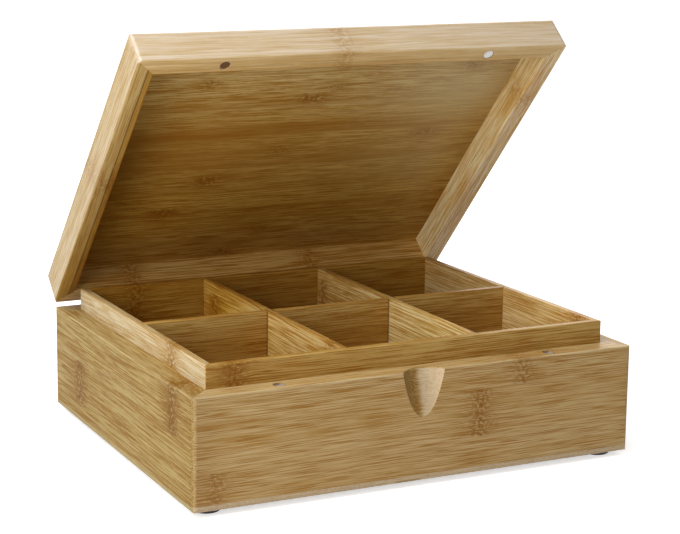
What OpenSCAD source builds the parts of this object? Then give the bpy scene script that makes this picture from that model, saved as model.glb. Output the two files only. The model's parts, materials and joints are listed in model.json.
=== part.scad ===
// Tea bag organizer box: a bamboo box with six compartments and a hinged lid.
// X runs left to right, Y from the front to the hinged back, Z up from the table.
// The lid stands open, and the origin is on the table under the middle of the whole outline.

/* [Box] */
// Outside width of the box
box_w = 240; // [210:1:300]
// Outside depth of the box, front to back
box_d = 196; // [160:1:260]
// Height of the outer walls, without the feet
wall_h = 55; // [48:1:80]
// Thickness of the outer walls
wall_t = 11; // [10:0.5:14]
// Radius on the upright outer corners of box and lid
corner_r = 2.5; // [1:0.5:4]
// Radius along the bottom outer edge of the walls
bottom_r = 2; // [0.5:0.5:3]
// Radius along the edges where the box and the lid meet
seam_r = 0.8; // [0.4:0.1:1.5]
// Thickness of the bottom panel
floor_t = 5; // [4:0.5:8]

/* [Tray] */
// Thickness of the liner boards inside the outer walls
liner_t = 4; // [3.5:0.5:6]
// How far the liner stands above the outer walls
liner_proud = 11.5; // [6:0.5:13]
// Thickness of the dividers
divider_t = 4; // [3:0.5:6]
// Radius along the top edges of the liner and the dividers
tray_r = 0.7; // [0.3:0.1:1]
// Depth of the housings in the liner that hold the ends of the dividers
housing_depth = 1.5; // [1:0.5:2]

/* [Lid] */
// Height of the lid from its rim to its top
lid_h = 19; // [18:0.5:30]
// Thickness of the lid rails
rail_t = 10; // [8:0.5:10]
// Thickness of the panel in the top of the lid
panel_t = 4; // [3:0.5:4.5]
// Radius along the top outer edge of the lid
lid_r = 2.5; // [1:0.5:4]
// Angle that the lid stands open, from closed
open_angle = 47.6; // [20:0.1:110]
// Gap between the walls and the rim of the closed lid
seam_gap = 0.3; // [0.2:0.1:0.6]

/* [Finger notch] */
// Width of the notch at the top edge of the front wall
notch_w = 23; // [18:0.5:30]
// Height of the notch down the front wall
notch_h = 23; // [16:0.5:30]
// Depth of the notch at the top edge of the front wall
notch_depth = 6.5; // [4:0.5:7]

/* [Fittings] */
// Diameter of the magnets
magnet_d = 6; // [5:0.5:7]
// Thickness of the magnets
magnet_h = 3; // [2:0.5:4]
// Distance between the magnets, centre to centre
magnet_span = 148; // [100:1:180]
// Length of each hinge along the seam
hinge_w = 30; // [25:1:40]
// Height of each hinge leaf
leaf_h = 14; // [12:0.5:15]
// Thickness of the hinge leaves
leaf_t = 1.2; // [1:0.1:1.4]
// Distance between the hinges, centre to centre
hinge_span = 140; // [100:1:180]
// Diameter of the rubber feet
foot_d = 14; // [10:0.5:18]
// Height of the rubber feet
foot_h = 2.5; // [2:0.5:5]

/* [Hidden] */
$fn = 48;
eps = 1;              // how far a cutter runs past the face that it opens
fit = 0.05;           // clearance round magnets, screws, pins and let-in panels
rebate = 5;           // width of the rebates that hold the two panels
magnet_sink = 0.3;    // how far a magnet lies below the rim
magnet_y = 5.5;       // distance from the front faces to the middle of a magnet
knuckles = 5;         // knuckles in one hinge, shared out between its two leaves
knuckle_r = 1.8;
knuckle_gap = 0.3;    // clearance of the knuckles from wood and from each other
pin_r = 0.9;
pin_head_r = 1.4;
pin_head_t = 0.6;
screw_r = 1;
screw_head_r = 2;
screw_head_h = 1;
screw_l = 8;
screw_span = 18;      // distance between the two screws of a leaf
screw_drop = 8.5;     // distance from the seam to the screws
foot_inset = 11.5;    // distance from the outer faces to the middle of a foot
foot_r = 0.7;         // radius round the bottom of a foot

wall_z = foot_h;                              // underside of the walls
wall_top = wall_z + wall_h;
tray_z = wall_z + floor_t;                    // top face of the bottom panel
tray_top = wall_top + liner_proud;
tray_h = tray_top - tray_z;
tray_w = box_w - 2 * wall_t;                  // outside of the liner
tray_d = box_d - 2 * wall_t;
inner_w = tray_w - 2 * liner_t;
inner_d = tray_d - 2 * liner_t;
cell_w = (inner_w - 2 * divider_t) / 3;       // width of one compartment
cross_x = (cell_w + divider_t) / 2;           // middle of a front-to-back divider
lid_z = wall_top + seam_gap;                  // rim of the closed lid
axis_out = knuckle_r + knuckle_gap;           // hinge axis behind the back faces
axis_z = wall_top + seam_gap / 2;
knuckle_l = hinge_w / knuckles;

// Reach of the open lid behind the box, which sets where the middle of the outline is.
edge_y = -axis_out - lid_r;
edge_z = lid_z + lid_h - lid_r - axis_z;
back_reach = axis_out + edge_y * cos(open_angle) + edge_z * sin(open_angle) + lid_r;
box_y = -back_reach / 2;                      // middle of the box itself

bamboo = "#d9b26f";
bamboo_dark = "#c08f4a";
nickel = "#c9cacc";
steel = "#a9a59c";
black = "#1b1b1b";

// ---- Shapes shared by several pieces ----

// What a rounded edge of radius r takes off the corner at the origin.
module edge_waste(r) {
    difference() {
        translate([-eps, -eps]) square(r + eps);
        translate([r, r]) circle(r);
    }
}

// Rectangle round the origin with rounded corners.
module round_rect(w, d, r) {
    difference() {
        square([w, d], center = true);
        for (sx = [-1, 1], sy = [-1, 1])
            scale([sx, sy]) translate([-w / 2, -d / 2]) edge_waste(r);
    }
}

// Cross-section of a board: x from its outer to its inner face, y up.
// radii are those of the outer bottom, outer top, inner top and inner bottom edges.
module board_section(t, h, radii) {
    difference() {
        square([t, h]);
        if (radii[0] > 0) edge_waste(radii[0]);
        if (radii[1] > 0) translate([0, h]) mirror([0, 1]) edge_waste(radii[1]);
        if (radii[2] > 0) translate([t, h]) mirror([1, 0]) mirror([0, 1]) edge_waste(radii[2]);
        if (radii[3] > 0) translate([t, 0]) mirror([1, 0]) edge_waste(radii[3]);
    }
}

// One board of a mitred frame, outside size w by d. side is 0 front, 1 right, 2 back, 3 left.
module mitred_board(w, d, t, h, side, radii, plan_r) {
    outer = [[-w, -d] / 2, [w, -d] / 2, [w, d] / 2, [-w, d] / 2];
    inner = [for (p = outer) p - t * [sign(p[0]), sign(p[1])]];
    next = (side + 1) % 4;
    along = side % 2 == 0 ? w : d;
    across = side % 2 == 0 ? d : w;
    intersection() {
        linear_extrude(h) polygon([outer[side], outer[next], inner[next], inner[side]]);
        linear_extrude(h) round_rect(w, d, plan_r);
        rotate([0, 0, 90 * side]) translate([-along / 2, -across / 2, 0]) rotate([90, 0, 90])
            linear_extrude(along) board_section(t, h, radii);
    }
}

// Block of size [w, d, h] standing on its own z = 0, centred in plan.
module slab(w, d, h) {
    translate([-w / 2, -d / 2, 0]) cube([w, d, h]);
}

// Moves the children from the middle of the box to the part's own frame.
module at_box() {
    translate([0, box_y, 0]) children();
}

// Turns the children, drawn as on the closed lid, to where the lid stands.
module on_lid() {
    at_box() translate([0, box_d / 2 + axis_out, axis_z]) rotate([-open_angle, 0, 0])
        translate([0, -box_d / 2 - axis_out, -axis_z]) children();
}

// ---- Box ----

// One outer wall, rebated below for the bottom panel.
module outer_wall(side) {
    difference() {
        translate([0, 0, wall_z])
            mitred_board(box_w, box_d, wall_t, wall_h, side, [bottom_r, seam_r, 0, 0], corner_r);
        translate([0, 0, wall_z - eps])
            slab(tray_w + 2 * rebate, tray_d + 2 * rebate, floor_t + eps);
    }
}

// Round scoop that leans out of the wall: deepest at the top edge, nothing at its lower end.
module finger_notch() {
    lean = atan(notch_depth / notch_h);
    depth = notch_depth * cos(lean);
    r = pow(notch_w / 2, 2) / (2 * depth) + depth / 2;
    translate([0, -box_d / 2, wall_top - notch_h]) rotate([-lean, 0, 0])
        translate([0, -r, -notch_h]) cylinder(r = r, h = 3 * notch_h);
}

// Pockets for the two magnets, opening on the plane z and going to depth below (-1) or above (1).
module magnet_pockets(z, way) {
    for (s = [-1, 1])
        translate([s * magnet_span / 2, -box_d / 2 + magnet_y, z])
            scale([1, 1, way]) translate([0, 0, -eps])
                cylinder(d = magnet_d + 2 * fit, h = magnet_sink + magnet_h + fit + eps);
}

module magnet(x, z) {
    translate([x, -box_d / 2 + magnet_y, z]) cylinder(d = magnet_d, h = magnet_h);
}

module front_wall() {
    color(bamboo) at_box() difference() {
        outer_wall(0);
        finger_notch();
        magnet_pockets(wall_top, -1);
    }
}

module back_wall() {
    color(bamboo) at_box() difference() {
        outer_wall(2);
        screw_places(-1) screw_hole();
    }
}

module left_wall() {
    color(bamboo) at_box() outer_wall(3);
}

module right_wall() {
    color(bamboo) at_box() outer_wall(1);
}

module bottom_panel() {
    color(bamboo_dark) at_box() translate([0, 0, wall_z])
        slab(tray_w + 2 * (rebate - fit), tray_d + 2 * (rebate - fit), floor_t);
}

// ---- Tray ----

// Housings in the liner for the ends of the three dividers.
module housings() {
    width = divider_t + 2 * fit;
    translate([0, 0, tray_z - eps]) {
        for (s = [-1, 1])
            translate([s * cross_x, 0, 0]) slab(width, inner_d + 2 * housing_depth, tray_h + 2 * eps);
        slab(inner_w + 2 * housing_depth, width, tray_h + 2 * eps);
    }
}

module liner(side) {
    color(bamboo_dark) at_box() difference() {
        translate([0, 0, tray_z])
            mitred_board(tray_w, tray_d, liner_t, tray_h, side, [0, tray_r, tray_r, 0], tray_r);
        housings();
    }
}

// Divider of length l along X, with its top edges rounded.
module divider_board(l) {
    translate([-l / 2, -divider_t / 2, tray_z]) rotate([90, 0, 90]) linear_extrude(l)
        board_section(divider_t, tray_h, [0, tray_r, tray_r, 0]);
}

// The left-to-right divider is slotted from the top, the front-to-back ones from below.
module long_divider() {
    color(bamboo_dark) at_box() difference() {
        divider_board(inner_w + 2 * (housing_depth - fit));
        for (s = [-1, 1])
            translate([s * cross_x, 0, tray_z + tray_h / 2])
                slab(divider_t + 2 * fit, divider_t + 2 * eps, tray_h);
    }
}

module cross_divider(s) {
    color(bamboo_dark) at_box() translate([s * cross_x, 0, 0]) difference() {
        rotate([0, 0, 90]) divider_board(inner_d + 2 * (housing_depth - fit));
        translate([0, 0, tray_z - tray_h / 2])
            slab(divider_t + 2 * eps, divider_t + 2 * fit, tray_h);
    }
}

// ---- Feet ----

module foot(sx, sy) {
    color(black) at_box()
        translate([sx * (box_w / 2 - foot_inset), sy * (box_d / 2 - foot_inset), 0])
            rotate_extrude() difference() {
                square([foot_d / 2, foot_h]);
                translate([foot_d / 2, 0]) mirror([1, 0]) edge_waste(foot_r);
            }
}

// ---- Lid, drawn closed and then turned open ----

module lid_rail(side) {
    difference() {
        translate([0, 0, lid_z])
            mitred_board(box_w, box_d, rail_t, lid_h, side, [seam_r, lid_r, 0, seam_r], corner_r);
        translate([0, 0, lid_z + lid_h - panel_t])
            slab(box_w - 2 * (rail_t - rebate), box_d - 2 * (rail_t - rebate), panel_t + eps);
    }
}

module lid_front_rail() {
    color(bamboo) on_lid() difference() {
        lid_rail(0);
        magnet_pockets(lid_z, 1);
    }
}

module lid_back_rail() {
    color(bamboo) on_lid() difference() {
        lid_rail(2);
        screw_places(1) screw_hole();
    }
}

module lid_left_rail() {
    color(bamboo) on_lid() lid_rail(3);
}

module lid_right_rail() {
    color(bamboo) on_lid() lid_rail(1);
}

module lid_panel() {
    trim = 2 * (rail_t - rebate + fit);
    color(bamboo) on_lid() translate([0, 0, lid_z + lid_h - panel_t])
        slab(box_w - trim, box_d - trim, panel_t);
}

// ---- Hinges: butt hinges screwed to the back faces, with the knuckles outside ----

// Round bar along X, centred on the hinge axis at the middle of a hinge.
module axis_bar(r, l, x = 0) {
    translate([x - l / 2, 0, 0]) rotate([0, 90, 0]) cylinder(r = r, h = l);
}

// Middle of knuckle k along the hinge.
function knuckle_x(k) = (k + 0.5) * knuckle_l - hinge_w / 2;

// One leaf, centred on the hinge axis. way is -1 for the leaf that hangs down, 1 for the other.
// Its knuckles are those numbered from first in steps of two.
module leaf(way, first) {
    difference() {
        union() {
            translate([-hinge_w / 2, -axis_out, way < 0 ? -leaf_h : 0]) cube([hinge_w, leaf_t, leaf_h]);
            for (k = [first:2:knuckles - 1])
                axis_bar(knuckle_r, knuckle_l - knuckle_gap, knuckle_x(k));
        }
        // room for the knuckles of the other leaf
        for (k = [1 - first:2:knuckles - 1])
            axis_bar(knuckle_r + knuckle_gap, knuckle_l + knuckle_gap, knuckle_x(k));
        axis_bar(pin_r + fit, hinge_w + 2 * eps);
        for (s = [-1, 1])
            translate([s * screw_span / 2, leaf_t - axis_out, way * screw_drop]) screw_hole();
    }
}

module hinge_pin() {
    axis_bar(pin_r, hinge_w);
    for (s = [-1, 1])
        axis_bar(pin_head_r, pin_head_t, s * (hinge_w + pin_head_t) / 2);
}

// Countersunk screw along Y, with its flat head at y = 0 and its point inside the wood.
module screw(room = 0) {
    rotate([90, 0, 0]) {
        cylinder(r = screw_r + room, h = screw_l + room);
        cylinder(r1 = screw_head_r + room, r2 = screw_r + room, h = screw_head_h);
    }
}

module screw_hole() {
    screw(fit);
    rotate([-90, 0, 0]) cylinder(r = screw_head_r + fit, h = eps);
}

// Puts the children at each screw of the leaves below (-1) or above (1) the seam.
module screw_places(way) {
    for (h = [-1, 1], s = [-1, 1])
        translate([h * hinge_span / 2 + s * screw_span / 2, box_d / 2 + leaf_t, axis_z + way * screw_drop])
            children();
}

// Moves the children from the hinge axis to the left (-1) or right (1) hinge of the closed box.
module at_hinge(h) {
    translate([h * hinge_span / 2, box_d / 2 + axis_out, axis_z]) children();
}

module base_leaf(h) {
    color(steel) at_box() at_hinge(h) leaf(-1, 0);
}

module lid_leaf(h) {
    color(steel) on_lid() at_hinge(h) leaf(1, 1);
}

module pin(h) {
    color(steel) at_box() at_hinge(h) hinge_pin();
}

module base_screws() {
    color(steel) at_box() screw_places(-1) screw();
}

module lid_screws() {
    color(steel) on_lid() screw_places(1) screw();
}

// ---- Magnets ----

module base_magnet(s) {
    color(nickel) at_box() magnet(s * magnet_span / 2, wall_top - magnet_sink - magnet_h);
}

module lid_magnet(s) {
    color(nickel) on_lid() magnet(s * magnet_span / 2, lid_z + magnet_sink);
}

front_wall();
back_wall();
left_wall();
right_wall();
bottom_panel();
liner(0);  // front_liner
liner(1);  // right_liner
liner(2);  // back_liner
liner(3);  // left_liner
long_divider();
cross_divider(-1);  // left_cross_divider
cross_divider(1);  // right_cross_divider
foot(-1, -1);  // front_left_foot
foot(1, -1);  // front_right_foot
foot(-1, 1);  // back_left_foot
foot(1, 1);  // back_right_foot
base_magnet(-1);  // base_left_magnet
base_magnet(1);  // base_right_magnet
base_leaf(-1);  // left_hinge_base_leaf
base_leaf(1);  // right_hinge_base_leaf
pin(-1);  // left_hinge_pin
pin(1);  // right_hinge_pin
base_screws();
lid_front_rail();
lid_back_rail();
lid_left_rail();
lid_right_rail();
lid_panel();
lid_magnet(-1);  // lid_left_magnet
lid_magnet(1);  // lid_right_magnet
lid_leaf(-1);  // left_hinge_lid_leaf
lid_leaf(1);  // right_hinge_lid_leaf
lid_screws();
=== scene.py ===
"""Finishes, small hardware and studio stage of a hinged bamboo tea bag organizer box."""
import json
import math
from dataclasses import dataclass

import bpy
from mathutils import Matrix, Vector


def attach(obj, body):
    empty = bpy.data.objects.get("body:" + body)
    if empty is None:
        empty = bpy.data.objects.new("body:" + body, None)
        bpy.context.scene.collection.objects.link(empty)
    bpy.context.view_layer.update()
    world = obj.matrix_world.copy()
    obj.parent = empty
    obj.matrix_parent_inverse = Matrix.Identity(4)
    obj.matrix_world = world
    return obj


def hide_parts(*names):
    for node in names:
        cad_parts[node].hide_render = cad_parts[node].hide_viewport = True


bl_info = {
    "name": "Tea Box Finishes",
    "version": (1, 0, 0),
    "blender": (4, 5, 0),
    "location": "3D View > Sidebar > Tea Box",
    "description": "Bamboo, metal and rubber finishes of a tea bag organizer box, and its studio stage",
    "category": "Object",
}

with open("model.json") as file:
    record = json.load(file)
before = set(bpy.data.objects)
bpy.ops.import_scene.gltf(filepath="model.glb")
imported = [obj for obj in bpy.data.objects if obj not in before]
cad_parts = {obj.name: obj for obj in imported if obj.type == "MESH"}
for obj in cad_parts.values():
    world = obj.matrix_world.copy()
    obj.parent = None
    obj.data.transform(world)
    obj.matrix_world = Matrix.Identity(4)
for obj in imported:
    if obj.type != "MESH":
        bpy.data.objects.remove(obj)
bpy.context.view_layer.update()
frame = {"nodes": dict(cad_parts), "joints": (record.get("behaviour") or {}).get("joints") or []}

MM = 0.001
X, Y, Z = Vector((1, 0, 0)), Vector((0, 1, 0)), Vector((0, 0, 1))
HINGE = frame["joints"][0]
AXIS = Vector(HINGE["pos_m"])

# How a board is turned: as the lid is from shut to where it stands, or not at all
OPENING = Matrix.Rotation(math.radians(HINGE["range_deg"][0]), 3, "X")
CLOSED = Matrix.Identity(3)

# How much paler or darker, and how warm, each board is than the others: partly each board's own tone and
# partly painted light and shade, set by how much light falls on its faces
TINTS = {
    "front_wall": (0.86, 0.84, 0.77),
    "back_wall": (0.74, 0.74, 0.71),
    "left_wall": (0.58, 0.58, 0.40),
    "right_wall": (0.74, 0.74, 0.71),
    "bottom_panel": (0.74, 0.71, 0.61),
    "front_liner": (0.80, 0.70, 0.39),
    "back_liner": (0.78, 0.61, 0.22),
    "left_liner": (1.06, 1.29, 1.82),
    "right_liner": (1.22, 1.26, 1.16),
    "long_divider": (1.00, 0.94, 0.61),
    "left_cross_divider": (1.07, 1.09, 0.91),
    "right_cross_divider": (1.23, 1.39, 1.38),
    "lid_front_rail": (1.08, 1.28, 2.05),
    "lid_back_rail": (1.06, 0.95, 0.63),
    "lid_left_rail": (0.87, 0.97, 1.22),
    "lid_right_rail": (1.72, 1.94, 2.20),
    "lid_panel": (0.88, 0.76, 0.37),
}


# ---- Sizes and colours that a user would change ----

def colour(name, description, rgb):
    """A colour property with its default."""
    return bpy.props.FloatVectorProperty(
        name=name, description=description, default=rgb, size=3, min=0, max=1, subtype="COLOR")


def length(name, description, default, smallest, largest):
    """A length property in metres."""
    return bpy.props.FloatProperty(
        name=name, description=description, default=default, min=smallest, max=largest,
        precision=5, subtype="DISTANCE", unit="LENGTH")


def number(name, description, default, smallest=0.0, largest=1.0):
    """A plain number between two limits."""
    return bpy.props.FloatProperty(
        name=name, description=description, default=default, min=smallest, max=largest)


def lamp_power(name, description, default):
    """The power of a lamp in watts."""
    return bpy.props.FloatProperty(
        name=name, description=description, default=default, min=0, unit="POWER")


class BambooSettings(bpy.types.PropertyGroup):
    """Colours and sizes of the laminated bamboo."""
    pale: colour("Pale streaks", "Lightest streaks of the bamboo", (0.70, 0.53, 0.30))
    straw: colour("Straw", "Main colour of the bamboo", (0.56, 0.385, 0.165))
    honey: colour("Honey", "Warm bands in the bamboo", (0.47, 0.27, 0.07))
    fibre: colour("Fibre", "Dark fibre bundles", (0.36, 0.165, 0.030))
    umber: colour("Ring flecks", "Dark flecks where a stem ring was planed flush", (0.29, 0.125, 0.016))
    glue: colour("Glue line", "Line of glue between two layers", (0.10, 0.05, 0.015))
    # The colour of sanded bamboo, which is also laid on as painted highlight on the rounded edges,
    # painted floor light on the lower edge, and painted light in the scoop and on the lid panel
    raw: colour("Raw edge", "Sanded edges that took up little lacquer", (0.66, 0.55, 0.42))
    strip: length(
        "Strip width", "Width of the strips that a board is glued up from", 0.024, 0.010, 0.060)
    layer: length("Outer layer", "Thickness of the outer layer of the lid's rails", 0.0066, 0.002, 0.009)
    relief: length("Grain relief", "Height of the grain left by sanding", 0.00005, 0.0, 0.0005)
    roughness: number("Roughness", "Roughness of the satin lacquer", 0.48)


class HardwareSettings(bpy.types.PropertyGroup):
    """Colours and sizes of the metal and rubber parts."""
    steel: colour("Steel", "Hinges, pins and screws", (0.46, 0.44, 0.41))
    nickel: colour("Nickel", "Plating of the magnets", (0.82, 0.80, 0.77))
    rubber: colour("Rubber", "Feet", (0.012, 0.012, 0.013))
    recess_depth: length(
        "Recess depth", "Depth of the cross recess in a screw head", 0.0007, 0.0001, 0.0009)
    recess_width: length("Recess width", "Width of one slot of the cross recess", 0.0006, 0.0002, 0.0012)
    thread_pitch: length(
        "Thread pitch", "Distance from one turn of the screw thread to the next", 0.0009, 0.0004, 0.002)


class StageSettings(bpy.types.PropertyGroup):
    """Camera, lamps and floor."""
    camera_place: bpy.props.FloatVectorProperty(
        name="Camera place", description="Where the camera stands", default=(-0.4162, -0.8158, 0.2827),
        size=3, subtype="XYZ", unit="LENGTH")
    camera_turn: bpy.props.FloatVectorProperty(
        name="Camera turn", description="How the camera is turned",
        default=[math.radians(a) for a in (79.95, -0.09, -23.69)], size=3, subtype="EULER")
    lens: number("Lens", "Focal length on a 36 mm sensor, in millimetres", 93.70, 20.0, 300.0)
    shift_x: number("Shift X", "Sideways shift of the lens", 0.1692, smallest=-1.0)
    shift_y: number("Shift Y", "Upward shift of the lens", -0.0913, smallest=-1.0)
    front: lamp_power("Front lamp", "Power of the low lamp in front and to the left", 4.5)
    high: lamp_power("High lamp", "Power of the lamp above and to the left", 7.6)
    side: lamp_power("Side lamp", "Power of the lamp on the left", 2.6)
    back: lamp_power("Back lamp", "Power of the lamp behind and to the right", 4.5)
    ambient: number("Ambient", "Strength of the even light from all round", 0.12, largest=2.0)
    floor: colour("Floor", "Colour of the floor", (0.86, 0.86, 0.86))
    floor_glow: number("Floor glow", "What the floor adds near the box for the camera", 0.62, largest=2.0)


# ---- Node trees written as expressions ----

class Value:
    """The output of a node, with the arithmetic that shader maths needs."""

    def __init__(self, tree, socket):
        self.tree = tree
        self.socket = socket

    def __add__(self, other):
        return self.tree.math("ADD", self, other)

    def __radd__(self, other):
        return self.tree.math("ADD", other, self)

    def __sub__(self, other):
        return self.tree.math("SUBTRACT", self, other)

    def __rsub__(self, other):
        return self.tree.math("SUBTRACT", other, self)

    def __mul__(self, other):
        return self.tree.math("MULTIPLY", self, other)

    def __rmul__(self, other):
        return self.tree.math("MULTIPLY", other, self)

    def __truediv__(self, other):
        return self.tree.math("DIVIDE", self, other)

    def __rtruediv__(self, other):
        return self.tree.math("DIVIDE", other, self)


# Sockets that share their names with others: the colours of a Mix node, and a Random Value's numbers
MIX_A, MIX_B, MIX_RESULT = 6, 7, 2
RANDOM_LOW, RANDOM_HIGH, RANDOM_RESULT = 2, 3, 1


class Tree:
    """A node tree under construction."""

    def __init__(self, tree):
        self.tree = tree
        tree.nodes.clear()

    def add(self, kind, settings=None, inputs=None, out=0):
        """Adds a node: its settings first, then each socket's value, link or list of links.
        Returns the output named or numbered out."""
        node = self.tree.nodes.new(kind)
        for key, setting in (settings or {}).items():
            setattr(node, key, setting)
        for key, source in (inputs or {}).items():
            links = source if isinstance(source, list) else [source]
            if isinstance(links[0], Value):
                for link in links:
                    self.tree.links.new(link.socket, node.inputs[key])
            else:
                node.inputs[key].default_value = source
        return Value(self, node.outputs[out]) if len(node.outputs) else None

    def math(self, operation, *values):
        return self.add("ShaderNodeMath", {"operation": operation}, dict(enumerate(values)))

    def power(self, value, exponent):
        return self.math("POWER", value, exponent)

    def between(self, value, low, high):
        """0 below low, 1 above high, smooth between them; high may be the lower of the two."""
        return self.add("ShaderNodeMapRange", {"interpolation_type": "SMOOTHSTEP"},
                        {"Value": value, "From Min": low, "From Max": high})

    def object_place(self):
        """The place on the object, in metres, as a vector."""
        return self.add("ShaderNodeTexCoord", out="Object")

    def bell(self, *offsets):
        """1 where all offsets are 0, falling to about a third where their length is 1."""
        total = offsets[0] * offsets[0]
        for offset in offsets[1:]:
            total = total + offset * offset
        return self.math("EXPONENT", total * -1.0)

    def combine(self, x, y, z):
        return self.add("ShaderNodeCombineXYZ", None, {0: x, 1: y, 2: z})

    def split(self, vector):
        node = self.add("ShaderNodeSeparateXYZ", None, {0: vector}).socket.node
        return [Value(self, node.outputs[i]) for i in range(3)]

    def noise(self, vector, scale, detail=2.0, roughness=0.5):
        """Smooth noise round 0.5; scale stretches the vector along each axis first."""
        stretched = self.add("ShaderNodeVectorMath", {"operation": "MULTIPLY"}, {0: vector, 1: scale})
        return self.add("ShaderNodeTexNoise", None, {
            "Vector": stretched, "Scale": 1.0, "Detail": detail, "Roughness": roughness})

    def mix(self, a, b, amount, blend="MIX"):
        """Colour a turning to b, or to a times b, as amount goes from 0 to 1."""
        colours = [(*c, 1) if not isinstance(c, Value) else c for c in (a, b)]
        return self.add("ShaderNodeMix", {"data_type": "RGBA", "blend_type": blend},
                        {"Factor": amount, MIX_A: colours[0], MIX_B: colours[1]}, out=MIX_RESULT)


def new_material(name):
    """An empty material and its tree."""
    material = bpy.data.materials.new(name)
    material.use_nodes = True
    return material, Tree(material.node_tree)


def finish_material(tree, shader, material):
    tree.add("ShaderNodeOutputMaterial", None, {"Surface": shader})
    return material


def dress(node, material):
    """Gives a CAD node its material."""
    mesh = frame["nodes"][node].data
    mesh.materials.clear()
    mesh.materials.append(material)


# ---- Bamboo ----

class Board:
    """Where a board lies: u along its grain, v across its face, w from its outer face inwards."""

    def __init__(self, node, along, across, inward, turn=CLOSED):
        corners = [turn.transposed() @ (v.co - AXIS) + AXIS for v in frame["nodes"][node].data.vertices]
        low = Vector([min(c[i] for c in corners) for i in range(3)])
        high = Vector([max(c[i] for c in corners) for i in range(3)])
        middle = (low + high) / 2
        size = high - low
        self.length, self.height, self.depth = (
            abs(size.dot(axis)) / MM for axis in (along, across, inward))
        start = middle - across * abs(size.dot(across)) / 2 - inward * abs(size.dot(inward)) / 2
        self.origin = AXIS + turn @ (start - AXIS)
        third = along.cross(across)
        axes = Matrix([turn @ along, turn @ across, turn @ third]).transposed()
        self.euler = axes.to_euler()
        self.flip = math.copysign(1, third.dot(inward))

    def millimetres(self, tree):
        """The place on the board, in millimetres, as a vector."""
        return tree.add("ShaderNodeMapping", {"vector_type": "TEXTURE"}, {
            "Vector": tree.object_place(), "Location": self.origin, "Rotation": self.euler,
            "Scale": (MM, MM, MM * self.flip)})


# The noises that the grain is made of: cycles per millimetre along and across it, detail and roughness
GRAIN = {
    "band": (0.003, 0.13, 2.0, 0.5),
    "soft": (0.012, 0.45, 2.0, 0.5),
    "streak": (0.022, 1.25, 2.0, 0.55),
    "hair": (0.042, 2.3, 1.0, 0.5),
    "dash": (0.12, 0.5, 3.0, 0.7),
}

# Stains in the order in which they are laid: the noise that places them, its values where they start
# and where they are full, their colour, their strength, and the mark of the board that scales it
STAINS = (
    ("band", 0.42, 0.62, "honey", 1.00, "bands"),
    ("band", 0.50, 0.34, "pale", 0.60, "bands"),
    ("soft", 0.50, 0.32, "pale", 0.35, None),
    ("soft", 0.54, 0.72, "fibre", 0.22, None),
    ("streak", 0.47, 0.33, "pale", 0.45, "contrast"),
    ("dark streak", 0.54, 0.66, "fibre", 0.65, "contrast"),
    ("hair", 0.47, 0.38, "pale", 0.55, "contrast"),
    ("dark hair", 0.53, 0.62, "fibre", 0.80, "contrast"),
    ("dash", 0.50, 0.30, "pale", 0.45, "speckle"),
    ("dash", 0.50, 0.70, "fibre", 0.35, "speckle"),
)

# What the stems leave on a board, in millimetres: how far a ring, a knot and the halo round them reach
# along the grain, half the width of a knot, how a ring fades at its ends and how far its flecks jump
RING_REACH = 5.6
KNOT_REACH = 6.5
HALO_REACH = 15.0
KNOT_HALF = 3.6
RING_FADE = 0.6
JAG = 5.0

# How many times wider than a knot its halo is, and how much a halo thickens the dark streaks
HALO_WIDENING = 1.6
HALO_THICKENING = 0.05

# How far the grain wanders sideways, in millimetres
WANDER = 3.0

# How far apart, in millimetres, two boards and two strips are cut from the same endless grain, and how
# far on the draw of the strips starts for the next board
BOARD_STEP = Vector((173.0, 59.0, 31.0))
STRIP_STEP = 400.0
DRAW_STEP = 7.3

# Distances in millimetres from a face or an edge, between which what is laid on it fades in or out
FACE_FADE = (0.05, 0.25)
RIM_FADE = (0.7, 0.2)
LEDGE_FADE = (1.3, 0.4)
EDGE_HIGHLIGHT_FADE = (1.6, 0.6)
OUTER_FADE = (1.6, 0.5)
SCOOP_FADE = (0.2, 0.8)
SKIN_FADE = (0.02, 0.12)
STRIP_EDGE_FADE = (0.5, 0.1)
FLOOR_LIGHT_FADE = 0.3
LAYER_FADE = 0.2

# Half the width of a glue line and of a seam, and how far a glue line wavers, in millimetres
GLUE_HALF = 0.36
SEAM_HALF = 0.35
GLUE_WAVER = 0.4

# Colours that shade the warmer inner layer of a rail, and that paint shade on the left side of the scoop
INNER_LAYER = (0.76, 0.59, 0.28)
SCOOP_SHADE = (0.67, 0.60, 0.42)

# The finger scoop, in millimetres: half its width with room to spare, and its greatest depth
SCOOP_HALF = 15.0
SCOOP_DEPTH = 8.0


@dataclass
class Marks:
    """What one board has of its own. Places and sizes are in millimetres on the board."""
    rings: tuple = ()           # stem rings: u, lowest v, highest v, strength
    knots: tuple = ()           # knots: u, v, strength
    patches: tuple = ()         # blotches: u, v, half length, half width, strength (below 0 is darker); some broad ones are painted light and shade
    shades: tuple = ()          # shaded places, most of them painted light and shade: u, v, half length, half width, colour
    seams: tuple = ()           # dark joints with other boards: distance from the middle
    rim: tuple = None           # colour that shades the lowest edge, as painted light and shade
    ledge: tuple = None         # colour that shades the highest edge, as painted light and shade
    near: tuple = None          # colour that shades all but the far face, as painted light and shade
    far: tuple = None           # colour that shades the far face, as painted light and shade, and keeps blotches and shades off it
    contrast: float = 1.0       # strength of the thin streaks
    fine: float = 1.0           # how many times finer than usual the thin streaks are
    speckle: float = 0.3        # strength of the short dashes
    bands: float = 0.6          # strength of the wide pale and warm bands
    gloss: float = 0.14         # specular level of the lacquer
    strip_start: float = 0.0    # v where one of the strips starts
    strip_shade: float = 0.12   # how much the edges of the strips show
    glue: float = 0.0           # how much the glue line and the warmer inner layer show
    raw_edge: float = 0.0       # height of the paler lower edge: painted floor light on its rounding
    worn: float = 0.0           # how much paler the rounded outer edges are: painted highlight
    scoop: bool = False         # whether the finger scoop is cut into the board


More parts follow.
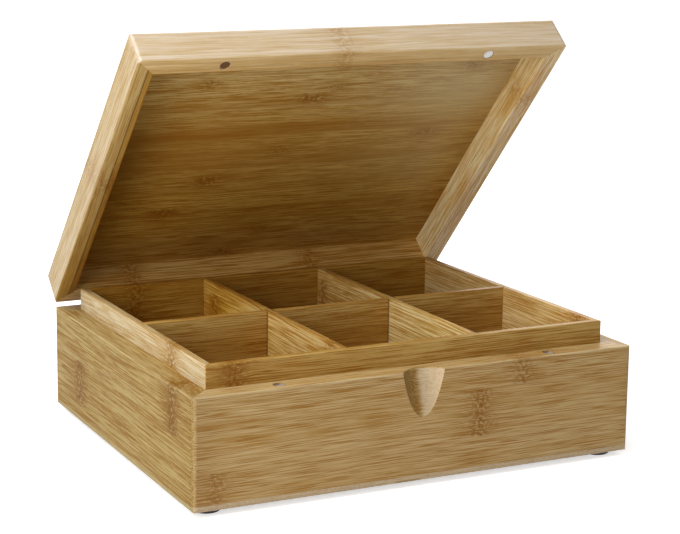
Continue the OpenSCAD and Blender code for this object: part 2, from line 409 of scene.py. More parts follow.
class Bamboo:
    """Laminated bamboo on one board: a straw ground with stains, and painted light and shade, laid over
    it in turn.
    """

    def __init__(self, name, board, seed, tint, marks):
        self.look = bpy.context.scene.teabox_bamboo
        self.board = board
        self.marks = marks
        self.seed = seed
        self.strip_width = self.look.strip / MM
        self.material, self.tree = new_material(name)
        self.colours = {key: [min(c * t, 0.95) for c, t in zip(getattr(self.look, key), tint)]
                        for key in ("pale", "straw", "honey", "fibre", "umber", "glue", "raw")}
        self.skin = self.colours["straw"]
        place = board.millimetres(self.tree)
        self.u, self.v, self.w = self.tree.split(place)
        self.shift = seed * BOARD_STEP
        self.base = self.tree.add("ShaderNodeVectorMath", {"operation": "ADD"}, {
            0: place, 1: self.shift})
        self.strips()
        self.rings()
        self.grain()
        for step in (self.lay_grain, self.lay_strips, self.lay_rings, self.lay_places, self.lay_faces,
                     self.lay_glue, self.lay_seams, self.lay_raw_edge, self.lay_edge_highlight, self.lay_scoop):
            step()
        self.lacquer()

    def stain(self, key, amount):
        """Turns the skin to one of the bamboo's colours."""
        self.skin = self.tree.mix(self.skin, self.colours[key], amount)

    def shade(self, rgb, amount):
        """Multiplies the skin by a colour."""
        self.skin = self.tree.mix(self.skin, rgb, amount, "MULTIPLY")

    def from_middle(self):
        return self.tree.math("ABSOLUTE", self.u)

    def above(self, fade):
        """1 near the top of the board, or off it where fade runs the other way."""
        top = self.board.height
        return self.tree.between(self.v, top - fade[0], top - fade[1])

    def off_far_face(self):
        """1 on all but the face that lies furthest inwards."""
        return self.tree.between(self.w, self.board.depth - FACE_FADE[0], self.board.depth - FACE_FADE[1])

    def on_far_face(self):
        return self.tree.between(self.w, self.board.depth - FACE_FADE[1], self.board.depth - FACE_FADE[0])

    def strips(self):
        """Which strip of the board a place is on, and where across the strip."""
        across_strips = (self.v - self.marks.strip_start) / self.strip_width
        strip = self.tree.math("FLOOR", across_strips)
        self.in_strip = across_strips - strip
        self.lot = self.tree.add("ShaderNodeTexWhiteNoise", {"noise_dimensions": "1D"}, {
            "W": strip + self.seed * DRAW_STEP})

    def rings(self):
        """Where stem rings and knots are, and the halo in which they bend the grain."""
        tree = self.tree
        self.ring = self.halo = 0.0
        jag = (tree.noise(self.base, (0.0, 0.7, 0.7)) - 0.5) * JAG
        for middle, low, high, strength in self.marks.rings:
            span = tree.between(self.v, low - RING_FADE, low + RING_FADE)
            span = span * tree.between(self.v, high + RING_FADE, high - RING_FADE) * strength
            self.add_ring(tree.bell((self.u + jag - middle) / RING_REACH) * span,
                          tree.bell((self.u - middle) / HALO_REACH) * span)
        for centre_u, centre_v, strength in self.marks.knots:
            along = self.u - centre_u
            across = (self.v + jag * 0.2 - centre_v) / KNOT_HALF
            self.add_ring(tree.bell(along / KNOT_REACH, across) * strength,
                          tree.bell(along / HALO_REACH, across / HALO_WIDENING) * strength)

    def add_ring(self, ring, halo):
        self.ring = self.tree.math("MAXIMUM", self.ring, ring)
        self.halo = self.tree.math("MAXIMUM", self.halo, halo)

    def grain(self):
        """The noises of the grain, which wanders and swells round the rings."""
        tree = self.tree
        wander = (tree.noise(self.base, (0.008, 0.05, 0.05), 1.0) - 0.5) * WANDER
        self.wander = wander + self.halo * (tree.noise(self.base, (0.10, 0.30, 0.30)) - 0.5) * WANDER
        place = tree.combine(self.u + self.lot * STRIP_STEP + self.shift.x,
                             self.v + self.wander + self.shift.y, self.w + self.shift.z)
        self.noises = {}
        for key, (along, across, detail, roughness) in GRAIN.items():
            across = across * (self.marks.fine if key in ("streak", "hair") else 1.0)
            self.noises[key] = tree.noise(place, (along, across, across), detail, roughness)
        for key in ("streak", "hair"):
            self.noises["dark " + key] = self.noises[key] + self.halo * HALO_THICKENING

    def lay_grain(self):
        for noise, start, full, colour_key, strength, scaled_by in STAINS:
            scale = getattr(self.marks, scaled_by) if scaled_by else 1.0
            amount = self.tree.between(self.noises[noise], start, full)
            self.stain(colour_key, amount * min(strength * scale, 1.0))

    def lay_strips(self):
        """Strips of slightly different wood, each darker towards one side and pale at its edges."""
        show = self.marks.strip_shade
        self.stain("honey", self.lot * 0.25)
        self.stain("fibre", self.tree.power(self.in_strip, 3.0) * show)
        edge = self.tree.math("MINIMUM", self.in_strip, 1.0 - self.in_strip) * self.strip_width
        self.stain("pale", self.tree.between(edge, *STRIP_EDGE_FADE) * show)

    def lay_rings(self):
        tree = self.tree
        fleck = tree.noise(self.base, (0.50, 0.65, 0.65), 2.0, 0.6)
        self.stain("fibre", self.halo * 0.22)
        self.stain("umber", (tree.between(fleck, 0.45, 0.60) * 0.70 + 0.30) * self.ring)
        self.stain("pale", tree.between(fleck, 0.44, 0.34) * self.ring * 0.4)

    def lay_places(self):
        """Blotches, which follow the grain, and shaded places; the shaded places and some broad blotches
        are painted light and shade.
        """
        tree = self.tree
        cover = self.off_far_face() if self.marks.far else 1.0
        for centre_u, centre_v, half_u, half_v, strength in self.marks.patches:
            across = (self.v + self.wander * 2.0 - centre_v) / half_v
            spot = tree.bell((self.u - centre_u) / half_u, across)
            self.stain("raw" if strength > 0 else "fibre", spot * cover * abs(strength))
        for centre_u, centre_v, half_u, half_v, rgb in self.marks.shades:
            spot = tree.bell((self.u - centre_u) / half_u, (self.v - centre_v) / half_v)
            self.shade(rgb, spot * cover)

    def lay_faces(self):
        """Painted light and shade on the lowest edge, all but the far face, the far face, and the highest
        edge.
        """
        marks = self.marks
        if marks.rim:
            self.shade(marks.rim, self.tree.between(self.v, *RIM_FADE))
        if marks.near:
            self.shade(marks.near, self.off_far_face())
        if marks.far:
            self.shade(marks.far, self.on_far_face())
        if marks.ledge:
            self.shade(marks.ledge, self.above(LEDGE_FADE))

    def lay_glue(self):
        """The warmer inner layer and the broken glue line between the two layers."""
        if not self.marks.glue:
            return
        tree, show = self.tree, self.marks.glue
        depth = self.look.layer / MM
        inner = tree.between(self.w, depth, depth + LAYER_FADE) * self.off_far_face()
        self.shade(INNER_LAYER, inner * show)
        line = tree.bell((self.w - depth + (self.noises["soft"] - 0.5) * GLUE_WAVER) / GLUE_HALF)
        self.stain("glue", line * tree.between(self.noises["dash"], 0.28, 0.42) * (0.9 * show))

    def lay_seams(self):
        for reach in self.marks.seams:
            gap = (self.from_middle() - reach) / SEAM_HALF
            self.stain("glue", self.tree.bell(gap) * 0.65)

    def lay_raw_edge(self):
        # Painted floor light: a speckled, paler band along the lower edge
        height = self.marks.raw_edge
        if not height:
            return
        crumb = self.tree.noise(self.base, (1.1, 1.6, 1.6), 1.0)
        edge = self.tree.between(self.v, height + FLOOR_LIGHT_FADE, height - FLOOR_LIGHT_FADE)
        self.stain("raw", edge * (crumb * 1.2))

    def lay_edge_highlight(self):
        """Painted highlight on the rounded upright corners and top edge, in the colour of sanded bamboo.
        """
        if not self.marks.worn:
            return
        tree, end = self.tree, self.board.length / 2
        outer = tree.between(self.w, *OUTER_FADE)
        ends = tree.between(self.from_middle(), end - EDGE_HIGHLIGHT_FADE[0], end - EDGE_HIGHLIGHT_FADE[1])
        edges = tree.math("MAXIMUM", ends, self.above(EDGE_HIGHLIGHT_FADE))
        self.stain("raw", edges * outer * self.marks.worn)

    def lay_scoop(self):
        """End grain in the finger scoop, with painted light on its right side and painted shade on its
        left side.
        """
        if not self.marks.scoop:
            return
        tree = self.tree
        cut = tree.between(self.w, *SKIN_FADE) * tree.between(self.w, SCOOP_DEPTH, SCOOP_DEPTH - 0.5)
        cut = cut * self.above(SCOOP_FADE)
        cut = cut * tree.between(self.from_middle(), SCOOP_HALF, SCOOP_HALF - 1.0)
        ragged = self.u + (self.noises["dash"] - 0.5) * 6.0
        self.stain("raw", cut * tree.between(ragged, -1.5, 1.5) * 0.6)
        self.shade(SCOOP_SHADE, cut * tree.between(self.u, 1.0, -3.0))

    def lacquer(self):
        """The satin lacquer over the skin, with a little of the grain's relief."""
        soft = self.noises["soft"]
        relief = soft * 0.3 + self.noises["streak"] * 0.7
        normal = self.tree.add("ShaderNodeBump", None, {
            "Strength": 0.5, "Distance": self.look.relief, "Height": relief})
        shader = self.tree.add("ShaderNodeBsdfPrincipled", None, {
            "Base Color": self.skin, "Roughness": soft * 0.16 + (self.look.roughness - 0.08),
            "Normal": normal, "Specular IOR Level": self.marks.gloss})
        finish_material(self.tree, shader, self.material)


def dress_board(node, board, seed, **marks):
    dress(node, Bamboo(node + "_bamboo", board, seed, TINTS[node], Marks(**marks)).material)


def dress_upright(boards, first_seed, turn=CLOSED, **shared):
    """Gives boards that stand on edge their bamboo. A row is the node, the direction of its grain, the
    direction from its outer face inwards, and its marks, which go before those that all rows share."""
    for seed, (node, along, inward, marks) in enumerate(boards, first_seed):
        dress_board(node, Board(node, along, Z, inward, turn), seed, **{**shared, **marks})


class TEABOX_OT_walls(bpy.types.Operator):
    """Finish the four outer walls and the bottom panel"""
    bl_idname = "teabox.walls"
    bl_label = "Outer Walls"

    def execute(self, context):
        dress_upright((
            ("front_wall", X, Y, {
                "strip_start": 18.4, "worn": 0.12, "scoop": True, "fine": 1.15, "contrast": 1.25,
                "rings": ((32, 18.4, 42.4, 1.0), (56, 42.4, 70, 0.8), (-108, -10, 18.4, 0.7)),
                # Darker at the left end, with painted light on the top edge
                "shades": ((-118, 30, 10, 60, (0.88, 0.87, 0.86)),), "ledge": (1.0, 1.06, 1.12)}),
            ("left_wall", Y, X, {
                "strip_start": 9.5, "worn": 0.14, "fine": 0.95, "contrast": 1.8, "bands": 1.0,
                "speckle": 0.8, "gloss": 0.05,
                # Painted light on the top edge
                "rings": ((58, 9.5, 33.5, 1.6), (-73, 31.5, 70, 1.6)), "ledge": (1.16, 1.20, 1.45)}),
            ("back_wall", X, -Y, {
                "strip_start": 14.0, "rings": ((-40, 14, 38, 0.9), (70, -10, 14, 0.7))}),
            ("right_wall", Y, -X, {
                "strip_start": 12.0, "rings": ((20, 12, 36, 0.9), (-60, 36, 70, 0.6))}),
        ), first_seed=1, raw_edge=3.3, worn=0.22)
        dress_board("bottom_panel", Board("bottom_panel", X, Y, Z), 5,
                    rings=((-30, 24, 48, 0.8), (60, 96, 120, 0.8), (-80, 144, 168, 0.7)))
        return {"FINISHED"}


class TEABOX_OT_tray(bpy.types.Operator):
    """Finish the liner boards and the dividers"""
    bl_idname = "teabox.tray"
    bl_label = "Liner and Dividers"

    def execute(self, context):
        dress_upright((
            # The ledges below are painted light and shade on the top edges
            ("front_liner", X, Y, {
                "contrast": 1.2, "rings": ((-94, 44, 70, 1.0),), "ledge": (0.96, 1.0, 1.1)}),
            ("back_liner", X, -Y, {
                "contrast": 1.2, "rings": ((-78, 38, 70, 1.1),),
                # Painted light on the left part and painted shade in the middle
                "shades": ((-78, 40, 34, 80, (1.18, 1.24, 1.22)),
                           (0, 40, 30, 80, (0.91, 0.87, 0.86)))}),
            ("left_liner", Y, X, {
                "contrast": 1.2, "rings": ((-45, 44, 70, 1.3),), "ledge": (0.88, 0.80, 0.64),
                "far": (0.88, 0.76, 0.50)}),
            ("right_liner", Y, -X, {
                "contrast": 1.2, "rings": ((-72, 40, 70, 1.3),), "ledge": (0.80, 0.74, 0.66)}),
            ("long_divider", X, Y, {
                "contrast": 1.4, "fine": 1.25, "ledge": (0.80, 0.72, 0.58), "seams": (33.5, 37.9),
                # Painted shade, darker further down the divider
                "shades": ((0, 44, 300, 12, (0.66, 0.50, 0.27)),)}),
            ("left_cross_divider", Y, X, {
                "fine": 0.85, "rings": ((-74, 38, 70, 1.1), (67, 20, 56, 1.3)),
                "ledge": (0.72, 0.62, 0.46), "seams": (2.2, 82.8),
                # Painted light and shade on the back part, and painted shade lower down on the front part
                "shades": ((60, 30, 50, 60, (1.22, 1.00, 0.34)),
                           (-45, 40, 60, 14, (0.85, 0.80, 0.68)))}),
            ("right_cross_divider", Y, X, {
                "fine": 0.95, "rings": ((76, 20, 56, 1.2),), "ledge": (0.80, 0.72, 0.58),
                "seams": (2.2, 82.8),
                # Painted light and shade on the back part, and painted shade lower down on the front part
                "shades": ((60, 30, 50, 60, (0.93, 0.78, 0.54)),
                           (-45, 40, 60, 14, (0.82, 0.77, 0.62)))}),
        ), first_seed=11, strip_start=17.0, contrast=1.9, speckle=0.7)
        return {"FINISHED"}


class TEABOX_OT_lid(bpy.types.Operator):
    """Finish the lid rails and the lid panel"""
    bl_idname = "teabox.lid"
    bl_label = "Lid"

    def execute(self, context):
        dress_upright((
            # The rims and near faces below are painted light and shade
            ("lid_front_rail", X, Y, {
                "rings": ((-9, -5, 25, 0.45),), "rim": (1.18, 1.05, 0.72), "glue": 0.25,
                "contrast": 0.4, "bands": 0.35}),
            ("lid_back_rail", X, -Y, {
                "rings": ((36, -5, 25, 0.8), (-75, -5, 25, 0.8)), "near": (0.84, 0.93, 1.25),
                "contrast": 1.6}),
            ("lid_left_rail", Y, X, {
                "rings": ((-5, -5, 25, 0.5),), "rim": (1.13, 1.01, 0.67), "glue": 1.0, "speckle": 0.6,
                # Painted shade on the lowest edge, darker towards the hinge
                "contrast": 0.8, "shades": ((100, 0, 110, 0.8, (0.60, 0.48, 0.22)),)}),
            ("lid_right_rail", Y, -X, {
                "rings": ((-55, -5, 25, 0.7),), "near": (0.56, 0.53, 0.54), "rim": (1.55, 1.54, 1.66),
                "contrast": 1.9, "speckle": 1.0,
                "patches": ((-44, 5, 10, 2.5, -0.6), (28, 2, 18, 2.0, -0.7))}),
        ), first_seed=31, turn=OPENING, strip_start=-3.0, worn=0.2)
        dress_board(
            "lid_panel", Board("lid_panel", X, Y, Z, OPENING), 41, strip_start=2.0, strip_shade=0.35,
            bands=0.8, contrast=1.35, fine=0.6, speckle=1.1, far=(0.97, 1.10, 1.95),
            # The first two blotches are painted light on the right and the third painted shade on the
            # left; the thin ones are lines in the grain
            patches=((90, 50, 50, 30, 0.6), (75, 110, 60, 25, 0.25), (-75, 85, 60, 25, -0.4),
                     (-62, 72, 60, 3.0, -0.8), (-5, 67, 50, 2.6, -0.75), (60, 72, 40, 2.2, -0.4),
                     (-55, 50, 60, 1.3, -0.6), (-50, 98, 60, 1.5, -0.6), (35, 98, 30, 2.2, -0.5),
                     (20, 92, 40, 1.2, -0.4), (0, 137, 100, 1.3, -0.6), (-55, 86, 40, 2.5, -0.35),
                     (40, 51.5, 70, 0.9, 0.3), (30, 58, 40, 0.8, 0.3), (20, 100.5, 70, 0.8, 0.25)),
            # Painted light along the front, painted shade towards the hinge and painted shadow along the
            # left rail
            shades=((0, 15, 300, 35, (1.15, 1.38, 2.4)), (0, 136, 300, 25, (0.96, 0.89, 0.62)),
                    (-106, 105, 26, 80, (0.42, 0.36, 0.18))),
            knots=((-48, 110, 1.7), (-66, 136, 1.6), (-68, 31, 0.9), (-7, 46, 1.7), (-19, 177, 1.3),
                   (73, 79, 1.4), (83, 24, 1.3), (5, 38, 0.8), (-12, 87, 0.8), (0, 158, 0.7)))
        return {"FINISHED"}


# ---- Rubber, nickel and steel ----

def rubber(name):
    """Moulded black rubber with a fine matt skin."""
    material, tree = new_material(name)
    place = tree.object_place()
    skin = tree.noise(place, (1500, 1500, 1500), 2.0)
    base = bpy.context.scene.teabox_hardware.rubber
    worn = [c * 2.2 for c in base]
    normal = tree.add("ShaderNodeBump", None, {"Strength": 0.3, "Distance": 0.00003, "Height": skin})
    shader = tree.add("ShaderNodeBsdfPrincipled", None, {
        "Base Color": tree.mix(base, worn, skin), "Roughness": skin * 0.2 + 0.32, "Normal": normal})
    return finish_material(tree, shader, material)


# Scratches and clouds in plated metal, in cycles per metre; brush lines are stretched along one axis
SCRATCHES = 2500.0
BRUSH_LINES = 60.0
CLOUDS = (150, 150, 150)

# Radii in millimetres between which the plating of a magnet gives way to its rim
PLATING_ENDS = 2.45
RIM_STARTS = 2.65


def metal(name, base, roughness, brushed_along=None, disc=None, rim=None, dark=0.0):
    """Plated metal with faint scratches, or with brush lines along one axis. disc is where a round
    magnet lies, rim is the colour of its edge, and dark is how dark the painted shadow on its back half
    is."""
    material, tree = new_material(name)
    place = tree.object_place()
    scale = [SCRATCHES] * 3
    if brushed_along is not None:
        scale[brushed_along] = BRUSH_LINES
    lines = tree.noise(place, scale, 3.0, 0.6)
    clouds = tree.noise(place, CLOUDS, 2.0)
    skin = tree.mix([c * 0.88 for c in base], base, tree.between(clouds, 0.3, 0.7))
    metallic = 1.0
    if disc:
        u, v, w = tree.split(disc.millimetres(tree))
        v = v - disc.height / 2
        edge = tree.between(tree.math("SQRT", u * u + v * v), PLATING_ENDS, RIM_STARTS)
        painted_shadow_half = tree.between(v - u * 0.6, 0.2, 1.2)
        skin = tree.mix(skin, [c * 0.25 for c in base], painted_shadow_half * dark)
        skin = tree.mix(skin, rim, edge)
        metallic = 1.0 - edge
    normal = tree.add("ShaderNodeBump", None, {"Strength": 0.15, "Distance": 0.00001, "Height": lines})
    shader = tree.add("ShaderNodeBsdfPrincipled", None, {
        "Base Color": skin, "Metallic": metallic, "Roughness": lines * 0.2 + (roughness - 0.1),
        "Normal": normal})
    return finish_material(tree, shader, material)


class TEABOX_OT_feet(bpy.types.Operator):
    """Finish the four rubber feet"""
    bl_idname = "teabox.feet"
    bl_label = "Feet"

    def execute(self, context):
        skin = rubber("foot_rubber_skin")
        for node in ("front_left_foot", "front_right_foot", "back_left_foot", "back_right_foot"):
            dress(node, skin)
        return {"FINISHED"}


class TEABOX_OT_magnets(bpy.types.Operator):
    """Finish the magnets in the box and the lid"""
    bl_idname = "teabox.magnets"
    bl_label = "Magnets"

    def execute(self, context):
        nickel = context.scene.teabox_hardware.nickel
        # The lid's left magnet is tinted brown: painted reflection of the wood
        reflected_wood_nickel = [c * f for c, f in zip(nickel, (0.42, 0.28, 0.16))]
        dulled = [c * 0.66 for c in nickel]
        # Rims: painted highlight on the chamfer of the lid's left magnet, wood-coloured painted shadow
        # round the lid's right one, and the dark gap round the magnets in the box, whose back half gets
        # painted shadow from the wall of its hole
        highlight_rim, shadow_rim, dark_rim = (0.60, 0.46, 0.30), (0.40, 0.29, 0.17), (0.16, 0.11, 0.06)
        for node, turn, base, roughness, rim, dark in (
                ("base_left_magnet", CLOSED, nickel, 0.45, dark_rim, 0.8),
                ("base_right_magnet", CLOSED, nickel, 0.45, dark_rim, 0.8),
                ("lid_left_magnet", OPENING, reflected_wood_nickel, 0.40, highlight_rim, 0.0),
                ("lid_right_magnet", OPENING, dulled, 0.35, shadow_rim, 0.0)):
            disc = Board(node, X, Y, Z, turn)
            dress(node, metal(node + "_plating", base, roughness, disc=disc, rim=rim, dark=dark))
        return {"FINISHED"}


class TEABOX_OT_hinges(bpy.types.Operator):
    """Finish the hinge leaves and pins"""
    bl_idname = "teabox.hinges"
    bl_label = "Hinges"

    def execute(self, context):
        steel = metal("brushed_hinge_steel", context.scene.teabox_hardware.steel, 0.34, brushed_along=0)
        for node in frame["nodes"]:
            if "hinge" in node:
                dress(node, steel)
        return {"FINISHED"}


# ---- Screws, as geometry nodes ----

SCREW_INPUTS = (
    "Head Radius", "Shank Radius", "Head Height", "Length", "Pitch", "Recess Width", "Recess Depth")

# Share of the shank's radius that is left under the thread, and of the head's that each slot crosses
CORE_SHARE = 0.72
SLOT_SHARE = 1.25

# Sides of the round parts, and points on one turn of the thread
HEAD_SIDES = 32
SHANK_SIDES = 24
TURN_POINTS = 24
THREAD_SIDES = 3

SPIN_SEED = 4
SCREWS_APART = 3 * MM


def screw_tree(name, direction, material):
    """A tree that puts a countersunk cross-head screw at each vertex of its input mesh, pointing along
    direction and turned at random about its own axis."""
    group = bpy.data.node_groups.new(name, "GeometryNodeTree")
    group.interface.new_socket("Geometry", in_out="INPUT", socket_type="NodeSocketGeometry")
    for label in SCREW_INPUTS:
        group.interface.new_socket(label, in_out="INPUT", socket_type="NodeSocketFloat")
    group.interface.new_socket("Geometry", in_out="OUTPUT", socket_type="NodeSocketGeometry")
    tree = Tree(group)
    source = tree.add("NodeGroupInput").socket.node
    points, head_r, shank_r, head_h, long, pitch, slot_w, slot_d = [
        Value(tree, source.outputs[i]) for i in range(1 + len(SCREW_INPUTS))]

    def moved(geometry, z):
        return tree.add("GeometryNodeTransform", None, {
            "Geometry": geometry, "Translation": tree.combine(0.0, 0.0, z)})

    core_r = shank_r * CORE_SHARE
    cone = tree.add("GeometryNodeMeshCone", None, {
        "Vertices": HEAD_SIDES, "Radius Top": head_r, "Radius Bottom": core_r, "Depth": head_h})
    slot_l = head_r * SLOT_SHARE
    slots = [tree.add("GeometryNodeMeshCube", None, {"Size": tree.combine(*size)}) for size in (
        (slot_l, slot_w, slot_d * 2.0), (slot_w, slot_l, slot_d * 2.0))]
    screw_head = tree.add("GeometryNodeMeshBoolean", {"operation": "DIFFERENCE", "solver": "EXACT"}, {
        "Mesh 1": moved(cone, 0.0 - head_h), "Mesh 2": slots})
    shank = tree.add("GeometryNodeMeshCylinder", None, {
        "Vertices": SHANK_SIDES, "Radius": core_r, "Depth": long - head_h * 2.0})
    tip = tree.add("GeometryNodeMeshCone", None, {
        "Vertices": SHANK_SIDES, "Radius Top": core_r, "Radius Bottom": 0.0, "Depth": head_h})
    turns = (long - head_h * 2.5) / pitch
    spiral = tree.add("GeometryNodeCurveSpiral", None, {
        "Resolution": TURN_POINTS, "Rotations": turns, "Start Radius": core_r, "End Radius": core_r,
        "Height": turns * pitch})
    profile = tree.add("GeometryNodeCurvePrimitiveCircle", None, {
        "Resolution": THREAD_SIDES, "Radius": shank_r - core_r})
    thread = tree.add("GeometryNodeCurveToMesh", None, {
        "Curve": spiral, "Profile Curve": profile, "Fill Caps": True})
    whole = tree.add("GeometryNodeJoinGeometry", None, {"Geometry": [
        screw_head, moved(shank, long * -0.5), moved(tip, 0.0 - long),
        moved(thread, head_h * 1.2 - long)]})
    spin = tree.add("FunctionNodeRandomValue", {"data_type": "FLOAT"}, {
        RANDOM_LOW: 0.0, RANDOM_HIGH: math.pi / 2, "Seed": SPIN_SEED}, out=RANDOM_RESULT)
    aim = (-direction).to_track_quat("Z", "Y").to_euler()
    placed = tree.add("GeometryNodeInstanceOnPoints", None, {
        "Points": points, "Instance": whole, "Rotation": aim})
    turned = tree.add("GeometryNodeRotateInstances", None, {
        "Instances": placed, "Rotation": tree.combine(0.0, 0.0, spin), "Local Space": True})
    real = tree.add("GeometryNodeRealizeInstances", None, {"Geometry": turned})
    done = tree.add("GeometryNodeSetMaterial", None, {"Geometry": real, "Material": material})
    tree.add("NodeGroupOutput", None, {0: done})
    return group


def plain_screws(node, turn):
    """Measures a node of plain screws that stand along Y once the lid is shut. Returns the middle of
    each head's face, the radius of a head and the length of a screw."""
    corners = [turn.transposed() @ (v.co - AXIS) + AXIS for v in frame["nodes"][node].data.vertices]
    corners.sort(key=lambda c: c.x)
    screws = [[corners[0]]]
    for corner in corners[1:]:
        if corner.x - screws[-1][-1].x > SCREWS_APART:
            screws.append([])
        screws[-1].append(corner)
    face = max(c.y for c in corners)
    tip = min(c.y for c in corners)
    heads = [Vector(((screw[0].x + screw[-1].x) / 2, face,
                     (min(c.z for c in screw) + max(c.z for c in screw)) / 2)) for screw in screws]
    return heads, (screws[0][-1].x - screws[0][0].x) / 2, face - tip


def screw_set(node, turn, body, look, material):
    """Replaces a node of plain screws by detailed ones that stand in the same holes."""
    heads, head_r, long = plain_screws(node, turn)
    mesh = bpy.data.meshes.new(node + "_heads")
    mesh.from_pydata([AXIS + turn @ (h - AXIS) for h in heads], [], [])
    carrier = bpy.data.objects.new(node + "_carrier", mesh)
    bpy.context.scene.collection.objects.link(carrier)
    group = screw_tree(node + "_tree", turn @ -Y, material)
    modifier = carrier.modifiers.new("Screws", "NODES")
    modifier.node_group = group
    sockets = [item for item in group.interface.items_tree if item.in_out == "INPUT"]
    identifiers = {socket.name: socket.identifier for socket in sockets}
    sizes = (head_r, head_r / 2, head_r / 2, long,
             look.thread_pitch, look.recess_width, look.recess_depth)
    for label, size in zip(SCREW_INPUTS, sizes):
        modifier[identifiers[label]] = size
    bpy.context.view_layer.update()
    seen = carrier.evaluated_get(bpy.context.evaluated_depsgraph_get())
    made = bpy.data.meshes.new_from_object(seen)
    bpy.data.objects.remove(carrier)
    piece = bpy.data.objects.new(node.replace("screws", "cross_head_screws"), made)
    bpy.context.scene.collection.objects.link(piece)
    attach(piece, body)
    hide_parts(node)


class TEABOX_OT_screws(bpy.types.Operator):
    """Make the cross-head screws of both hinges"""
    bl_idname = "teabox.screws"
    bl_label = "Screws"

    def execute(self, context):
        look = context.scene.teabox_hardware
        steel = metal("screw_steel", look.steel, 0.28)
        screw_set("base_screws", CLOSED, "base", look, steel)
        screw_set("lid_screws", OPENING, "lid", look, steel)
        return {"FINISHED"}


# ---- Stage ----

# Where each lamp hangs, in metres, what they all point at, and how wide they are
LAMPS = {
    "front": (-0.84, -0.48, 0.36),
    "high": (-0.37, -0.21, 1.01),
    "side": (-0.82, 0.0, 0.67),
    "back": (0.50, 0.72, 0.60),
}
LAMP_TARGET = (0, 0, 0.08)
LAMP_SIZE = 0.7

# The floor, in metres: half its side, and how far out its glow starts to rise and is full
FLOOR_HALF = 8.0
GLOW_STARTS = 0.25
GLOW_FULL = 1.2
FULL_GLOW = 1.1


def area_lamp(name, place, power):
    data = bpy.data.lights.new(name, "AREA")
    data.shape = "DISK"
    data.size = LAMP_SIZE
    data.energy = power
    lamp = bpy.data.objects.new(name, data)
    lamp.location = place
    lamp.rotation_euler = (Vector(LAMP_TARGET) - Vector(place)).to_track_quat("-Z", "Y").to_euler()
    lamp.visible_camera = False
    bpy.context.scene.collection.objects.link(lamp)


def seen_directly(tree):
    """1 for rays from the camera and for mirror and glass rays, 0 for light that falls on things."""
    path = tree.add("ShaderNodeLightPath").socket.node
    camera, glossy, glass = (Value(tree, path.outputs[name]) for name in (
        "Is Camera Ray", "Is Glossy Ray", "Is Transmission Ray"))
    return tree.math("MINIMUM", camera + glossy + glass, 1.0)


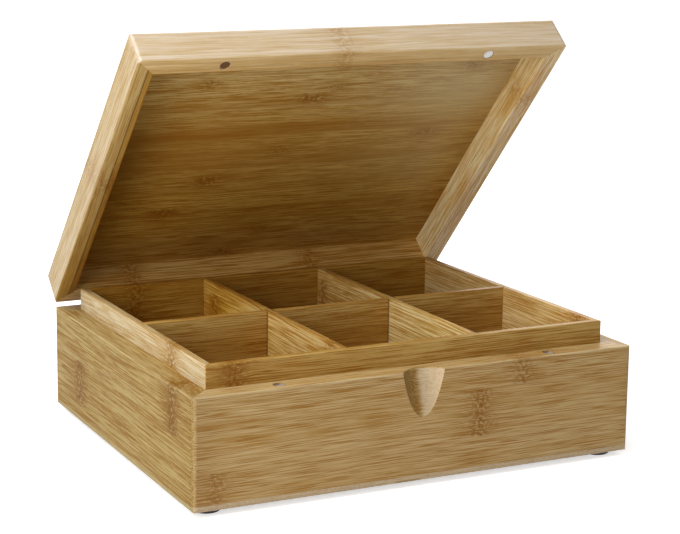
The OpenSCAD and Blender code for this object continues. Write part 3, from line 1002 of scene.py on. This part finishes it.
class TEABOX_OT_stage(bpy.types.Operator):
    """Set up the floor, the lamps, the world and the camera"""
    bl_idname = "teabox.stage"
    bl_label = "Stage"

    def execute(self, context):
        look = context.scene.teabox_stage
        self.floor(look)
        for key, place in LAMPS.items():
            area_lamp(key + "_lamp", place, getattr(look, key))
        self.world(context, look)
        self.camera(context, look)
        context.scene.view_settings.view_transform = "Standard"
        return {"FINISHED"}

    def floor(self, look):
        corners = [(x * FLOOR_HALF, y * FLOOR_HALF, 0) for x, y in ((-1, -1), (1, -1), (1, 1), (-1, 1))]
        mesh = bpy.data.meshes.new("floor")
        mesh.from_pydata(corners, [], [(0, 1, 2, 3)])
        floor = bpy.data.objects.new("floor", mesh)
        bpy.context.scene.collection.objects.link(floor)
        material, tree = new_material("floor_paper")
        place = tree.object_place()
        away = tree.add("ShaderNodeVectorMath", {"operation": "LENGTH"}, {0: place}, out="Value")
        rise = tree.between(away, GLOW_STARTS, GLOW_FULL)
        glow = look.floor_glow + rise * (FULL_GLOW - look.floor_glow)
        paper = tree.add("ShaderNodeBsdfDiffuse", None, {"Color": (*look.floor, 1)})
        light = tree.add("ShaderNodeEmission", None, {
            "Color": (1, 1, 1, 1), "Strength": glow * seen_directly(tree)})
        shader = tree.add("ShaderNodeAddShader", None, {0: paper, 1: light})
        mesh.materials.append(finish_material(tree, shader, material))

    def world(self, context, look):
        world = bpy.data.worlds.new("studio")
        world.use_nodes = True
        tree = Tree(world.node_tree)
        strength = look.ambient + seen_directly(tree) * (1.0 - look.ambient)
        backdrop = tree.add("ShaderNodeBackground", None, {"Color": (1, 1, 1, 1), "Strength": strength})
        tree.add("ShaderNodeOutputWorld", None, {"Surface": backdrop})
        context.scene.world = world

    def camera(self, context, look):
        data = bpy.data.cameras.new("camera")
        data.sensor_width = 36
        data.lens = look.lens
        data.shift_x = look.shift_x
        data.shift_y = look.shift_y
        camera = bpy.data.objects.new("camera", data)
        camera.location = look.camera_place
        camera.rotation_euler = look.camera_turn
        context.scene.collection.objects.link(camera)
        context.scene.camera = camera


class TEABOX_PT_panel(bpy.types.Panel):
    """Tea box pieces, finishes and stage"""
    bl_idname = "TEABOX_PT_panel"
    bl_label = "Tea Box"
    bl_space_type = "VIEW_3D"
    bl_region_type = "UI"
    bl_category = "Tea Box"

    def draw(self, context):
        for title, group in (("Bamboo", "teabox_bamboo"), ("Hardware", "teabox_hardware"),
                             ("Stage", "teabox_stage")):
            settings = getattr(context.scene, group)
            box = self.layout.box()
            box.label(text=title)
            for key in settings.bl_rna.properties.keys():
                if key not in ("rna_type", "name"):
                    box.prop(settings, key)
        for operator in OPERATORS:
            self.layout.operator(operator.bl_idname)


OPERATORS = (TEABOX_OT_walls, TEABOX_OT_tray, TEABOX_OT_lid, TEABOX_OT_feet, TEABOX_OT_magnets,
             TEABOX_OT_hinges, TEABOX_OT_screws, TEABOX_OT_stage)
SETTINGS = (("teabox_bamboo", BambooSettings), ("teabox_hardware", HardwareSettings),
            ("teabox_stage", StageSettings))


def register():
    for key, group in SETTINGS:
        bpy.utils.register_class(group)
        setattr(bpy.types.Scene, key, bpy.props.PointerProperty(type=group))
    for item in (*OPERATORS, TEABOX_PT_panel):
        bpy.utils.register_class(item)


def unregister():
    for item in reversed((*OPERATORS, TEABOX_PT_panel)):
        bpy.utils.unregister_class(item)
    for key, group in reversed(SETTINGS):
        delattr(bpy.types.Scene, key)
        bpy.utils.unregister_class(group)


def main():
    register()
    bpy.ops.teabox.walls()
    bpy.ops.teabox.tray()
    bpy.ops.teabox.lid()
    bpy.ops.teabox.feet()
    bpy.ops.teabox.magnets()
    bpy.ops.teabox.hinges()
    bpy.ops.teabox.screws()
    bpy.ops.teabox.stage()


if __name__ == "__main__":
    main()
